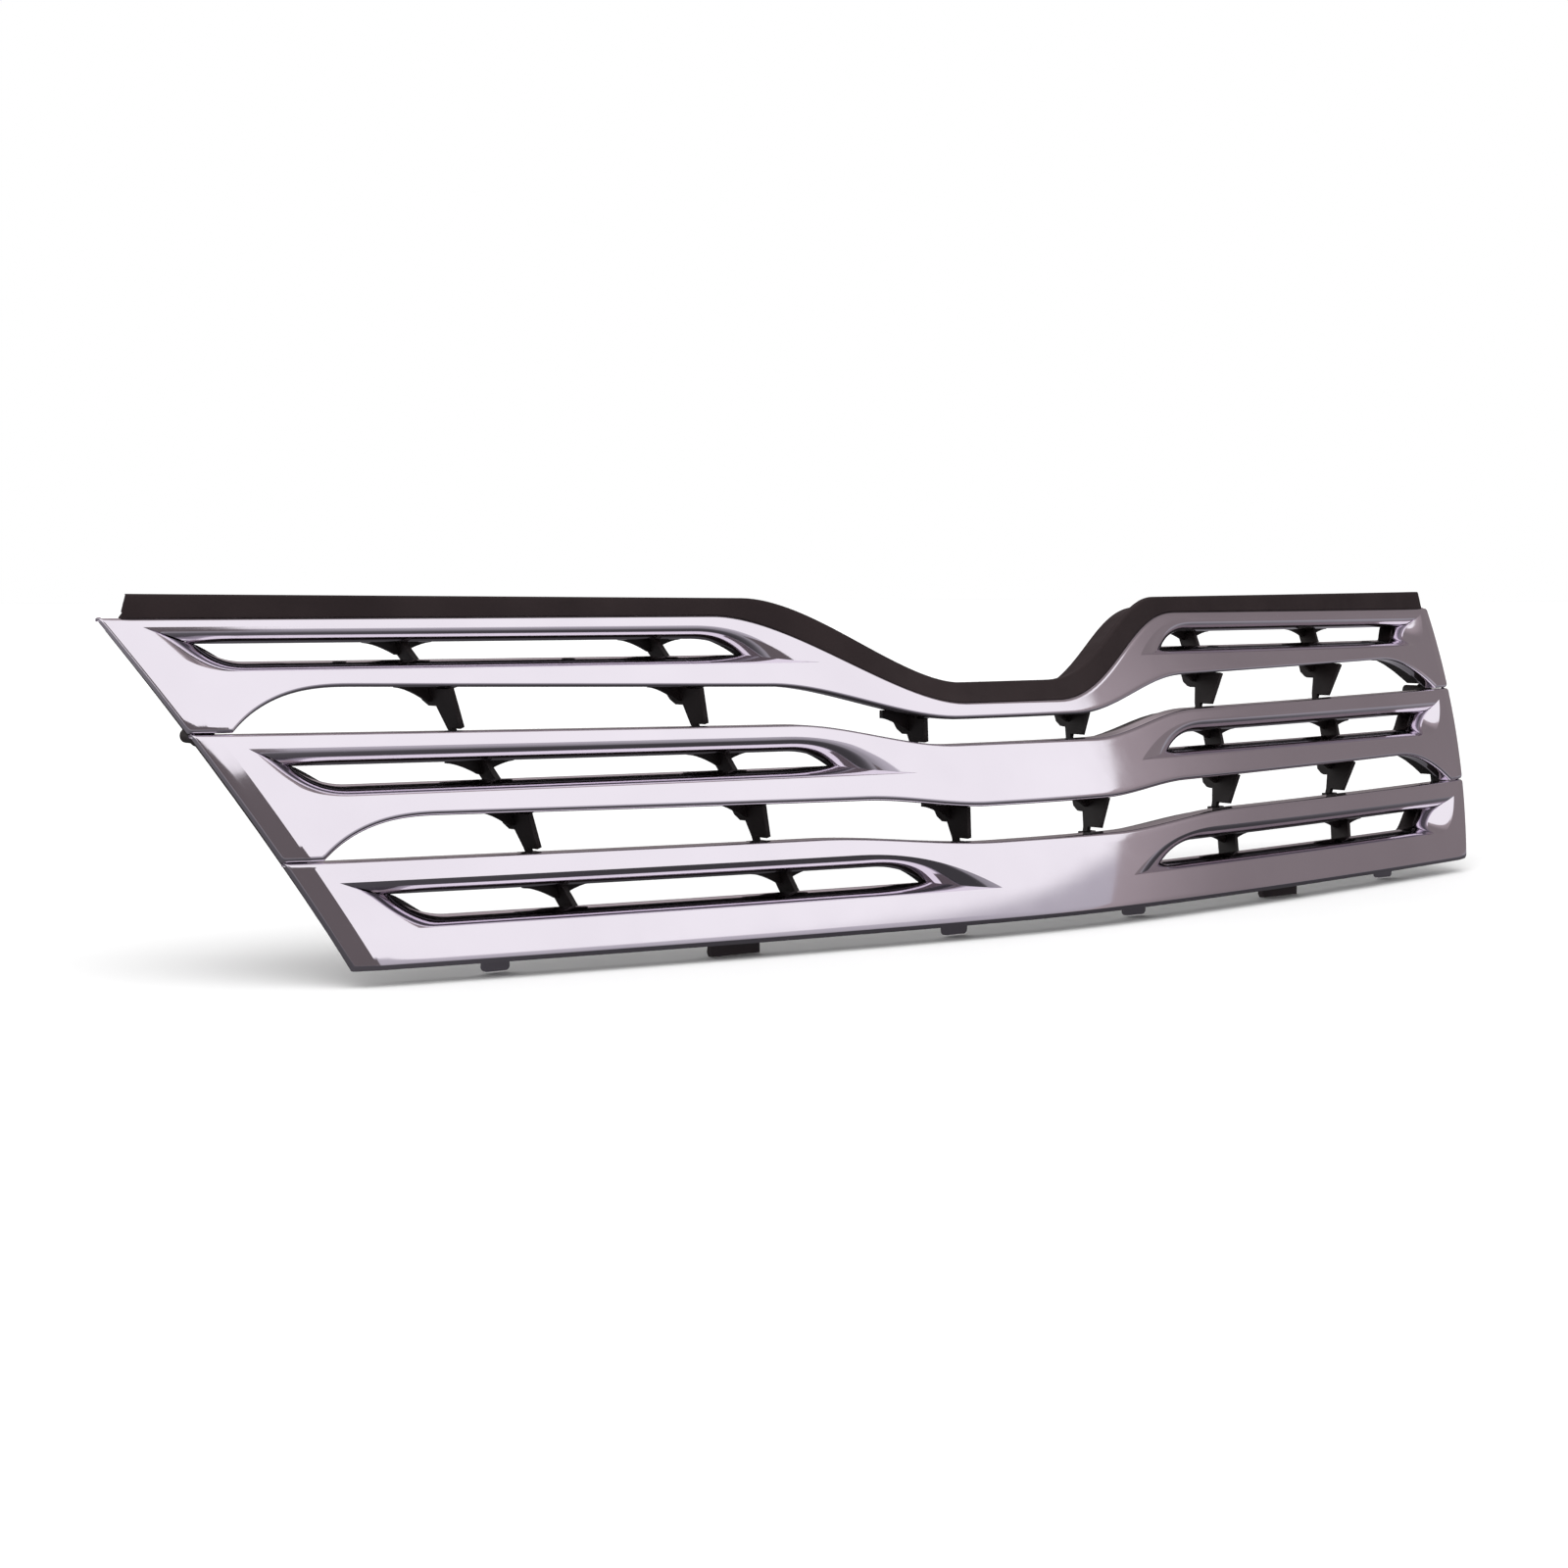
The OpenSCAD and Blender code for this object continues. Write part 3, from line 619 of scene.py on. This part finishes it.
def strip_section(x):
    """Cross-section of the strip at x: points (y, z) round its band and shelf."""
    base, top = edge_z(UPPER_TOP, x), edge_z(STRIP_TOP, x)
    tilt = strip_tilt(x)
    low, under, shelf = base + STRIP_GAP, base + SHELF_TOP - TAB_T, base + SHELF_TOP

    def front(z, back=0):
        return face_y(x, base) + STRIP_BACK + tilt * (z - base) + back

    r = 1.1
    points = [(front(low, 0.3), low), (front(low + 0.3), low + 0.3)]
    points += [(front(z), z) for z in (mix(low + 0.3, top - r, k / 4) for k in range(1, 4))]
    points += [(front(top - r) + tilt * r * k / 5 + r * (1 - math.cos(k / 5 * math.pi / 2)),
                top - r + r * math.sin(k / 5 * math.pi / 2)) for k in range(6)]
    points += [(front(top, 3.9), top), (front(top - 0.7, 4.8), top - 0.7)]
    points += [(front(shelf + 1.5, 4.8), shelf + 1.5), (front(shelf + 0.4, 5.2), shelf + 0.4)]
    points += [(front(shelf, 6.3), shelf)]
    rear = front(base, STRIP_SHELF)
    points += [(rear - 0.5, shelf), (rear, shelf - 0.5), (rear, under + 0.5), (rear - 0.5, under)]
    points += [(front(under, 3.6), under), (front(low, 3.2), low)]
    return points


def strip_point(x, y, z):
    """Draws the ends in with height and with depth, so that they slant like the strip's own."""
    base, top = edge_z(UPPER_TOP, x), edge_z(STRIP_TOP, x)
    rise = min(max((z - base) / (top - base), 0), 1)
    back = max(y - face_y(x, base) - 5, 0)
    inward = (3.5 * rise + 0.85 * back) * (abs(x) / STRIP_END) ** 24
    return place(x - math.copysign(inward, x), y, z)


def top_strip():
    xs = [mix(-STRIP_END, STRIP_END, i / 276) for i in range(277)]
    bm = bmesh.new()
    rings = [[bm.verts.new(strip_point(x, y, z)) for y, z in strip_section(x)] for x in xs]
    for a, b in zip(rings, rings[1:]):
        for i in range(len(a)):
            k = (i + 1) % len(a)
            bm.faces.new((a[i], a[k], b[k], b[i]))
    for ring in (rings[0], rings[-1]):
        rim = [bm.edges.get(pair) for pair in zip(ring, ring[1:] + ring[:1])]
        bmesh.ops.triangle_fill(bm, use_beauty=True, edges=rim)
    bmesh.ops.recalc_face_normals(bm, faces=bm.faces)
    for face in bm.faces:
        face.smooth = True
    for edge in bm.edges:
        edge.smooth = edge.calc_face_angle() < math.radians(35)
    mesh = bpy.data.meshes.new("top_strip_band")
    bm.to_mesh(mesh)
    bm.free()
    add_piece("top_strip_band", mesh, STRIP, ["top_strip"])
    strip_tabs()


def strip_tabs():
    """The four fixing tabs behind the strip's shelf, each with an M6 clearance hole."""
    for side, label in ((1, "right"), (-1, "left")):
        for x, where in ((INNER_TAB_X, "inner"), (OUTER_TAB_X, "outer")):
            start = face_y(x, edge_z(UPPER_TOP, x)) + 3 + strip_tilt(x) * SHELF_TOP
            outline = rounded_box(-12, 12, start + 2, start + HOLE_BACK + 11, 0.5, 5)
            hole = arc(0, start + HOLE_BACK, 3.25, 0, 4, 40)[:-1]
            plate("strip_tab_%s_%s" % (where, label), [outline, hole], TAB_T,
                  lambda u, v: place(side * x + u, v, FIX_Z - TAB_T / 2), STRIP)


def lower_tabs():
    """The chrome bar's hooked tabs, which point down behind the bumper's lip."""
    for side, label in ((1, "right"), (-1, "left")):
        for x, width, where in ((78, 19, "inner"), (380, 17, "outer")):
            y = face_y(x, 0)
            half = width / 2
            name = "lower_tab_%s_%s" % (where, label)
            plate(name, [rounded_box(-half, half, -8, 1.5, 2.6, 0.4)], 3,
                  lambda u, v: place(side * x + u, y + 25.5, v), CHROME, 0.6)
            plate(name + "_arm", [rounded_box(-half, half, y + 10.5, y + 25, 0.4, 0.4)], 2.4,
                  lambda u, v: place(side * x + u, v, 1.3), CHROME, 0.5)


# ---------------------------------------------------------------- studio
# Camera: place in metres, its directions, and its lens in millimetres
CAMERA_PLACE, CAMERA_LENS = (-1.13678, -1.34327, 0.01326), 59.85
CAMERA_RIGHT, CAMERA_AHEAD = (0.7867, -0.6174, 0), (0.6156, 0.7845, -0.0750)
# The cards' centre: about the middle of the object's depth, 0.1 m above its lowest point
CENTRE_Y, CENTRE_Z = -0.1, CAD_BOX[0].z + 0.1


def make_camera():
    camera = bpy.data.objects.new("camera", bpy.data.cameras.new("camera"))
    bpy.context.scene.collection.objects.link(camera)
    right = Vector(CAMERA_RIGHT).normalized()
    ahead = Vector(CAMERA_AHEAD).normalized()
    up = right.cross(ahead).normalized()
    turn = Matrix((right, up, -ahead)).transposed().to_4x4()
    camera.matrix_world = Matrix.Translation(CAMERA_PLACE) @ turn
    camera.data.lens = CAMERA_LENS
    camera.data.sensor_width = 36
    camera.data.sensor_fit = "HORIZONTAL"
    camera.data.clip_end = 200
    bpy.context.scene.camera = camera


def make_floor():
    low = CAD_BOX[0].z - 0.0005
    bm = bmesh.new()
    bmesh.ops.create_grid(bm, x_segments=24, y_segments=24, size=30)
    for v in bm.verts:
        v.co.z = low
    mesh = bpy.data.meshes.new("floor")
    bm.to_mesh(mesh)
    bm.free()
    mesh.materials.append(floor_material())
    floor = bpy.data.objects.new("floor", mesh)
    bpy.context.scene.collection.objects.link(floor)


def make_card(name, rows):
    """A card that only reflections see. Rows of (position, glow colour, cover)."""
    bm = bmesh.new()
    grid = [[bm.verts.new(point) for point, _, _ in row] for row in rows]
    for low, high in zip(grid, grid[1:]):
        for i in range(len(low) - 1):
            bm.faces.new((low[i], low[i + 1], high[i + 1], high[i]))
    mesh = bpy.data.meshes.new(name)
    bm.to_mesh(mesh)
    bm.free()
    points = [p for row in rows for p in row]
    glow = mesh.attributes.new("glow", "FLOAT_COLOR", "POINT")
    for value, (_, colour, _) in zip(glow.data, points):
        value.color = (*colour, 1)
    cover = mesh.attributes.new("cover", "FLOAT", "POINT")
    for value, (_, _, amount) in zip(cover.data, points):
        value.value = amount
    mesh.materials.append(CARD)
    card = bpy.data.objects.new(name, mesh)
    for ray in ("camera", "diffuse", "shadow", "transmission", "volume_scatter"):
        setattr(card, "visible_" + ray, False)
    bpy.context.scene.collection.objects.link(card)


def around(azimuth, elevation, radius):
    """A point round the object: azimuth from -Y towards +X, in degrees."""
    a, e = math.radians(azimuth), math.radians(elevation)
    return Vector((radius * math.sin(a) * math.cos(e),
                   CENTRE_Y - radius * math.cos(a) * math.cos(e),
                   radius * math.sin(e) + CENTRE_Z))


def edge_azimuth(elevation):
    """The slanting edge between the front card and the side card."""
    return 53 + 0.95 * (elevation - 15)


def front_card():
    """The bright wall in front and on the left. It thins out at its top edge."""
    rows = []
    for j in range(41):
        e = mix(CARD_LOW, 22, j / 40)
        shade = mix(*FRONT_GLOW, ease((e + 2) / 20))
        cover = 1 - ease((e - FRONT_TOP) / 3)
        rows.append([(around(mix(FRONT_FROM, edge_azimuth(e), i / 40), e, CARD_RADIUS),
                      tuple(shade * c for c in LAVENDER), cover) for i in range(41)])
    make_card("front_card", rows)


def dark_card():
    """What stands in front on the left: the end facets of the lower bars show it."""
    rows = []
    for j in range(31):
        e = mix(CARD_LOW, DARK_TOP, j / 30)
        rows.append([(around(mix(*DARK_AZIMUTHS, i / 30), e, CARD_RADIUS - 0.1),
                      tuple(DARK_GLOW * c for c in WARM), 1) for i in range(31)])
    make_card("dark_card", rows)


def side_card():
    """The dim wall on the right, carried on round the back."""
    rows = []
    for j in range(41):
        e = mix(CARD_LOW, SIDE_TOP, j / 40)
        start = edge_azimuth(e)
        row = []
        for i in range(41):
            a = mix(start, SIDE_TO, i / 40)
            shade = mix(*SIDE_GLOW, ease((a - start) / 16))
            if a > BACK_FROM:
                shade = mix(*BACK_GLOW, ease((e - 12) / 10))
            row.append((around(a, e, CARD_RADIUS), tuple(shade * c for c in WARM), 1))
        rows.append(row)
    make_card("side_card", rows)


def floor_card():
    """What the chrome shows of the floor: dark close to the object, brighter further out."""
    low = CAD_BOX[0].z + 0.0004
    rows = []
    for j in range(25):
        r = mix(0.02, CARD_RADIUS + 0.1, (j / 24) ** 2)
        shade = mix(*FLOOR_GLOW, ease((r - 0.25) / 1.1))
        angles = [t / 32 * math.tau for t in range(33)]
        rows.append([((r * math.cos(a), CENTRE_Y + r * math.sin(a), low),
                      tuple(shade * c for c in LAVENDER), 1) for a in angles])
    make_card("floor_card", rows)


def make_sun():
    """A wide soft sun that lifts the floor to white; reflections don't show it."""
    light = bpy.data.lights.new("sun", "SUN")
    light.energy = 1.3
    light.angle = math.radians(60)
    lamp = bpy.data.objects.new("sun", light)
    lamp.rotation_euler = (math.radians(20), math.radians(-15), 0)
    lamp.visible_glossy = False
    bpy.context.scene.collection.objects.link(lamp)


def make_world():
    world = bpy.data.worlds.new("studio")
    world.use_nodes = True
    background = world.node_tree.nodes["Background"]
    background.inputs["Color"].default_value = (1.0, 1.0, 1.0, 1)
    background.inputs["Strength"].default_value = 1.0
    bpy.context.scene.world = world
    bpy.context.scene.view_settings.view_transform = "Standard"


dress_cad_nodes()
chrome_bars()
top_strip()
lower_tabs()
make_camera()
make_floor()
make_world()
front_card()
dark_card()
side_card()
floor_card()
make_sun()
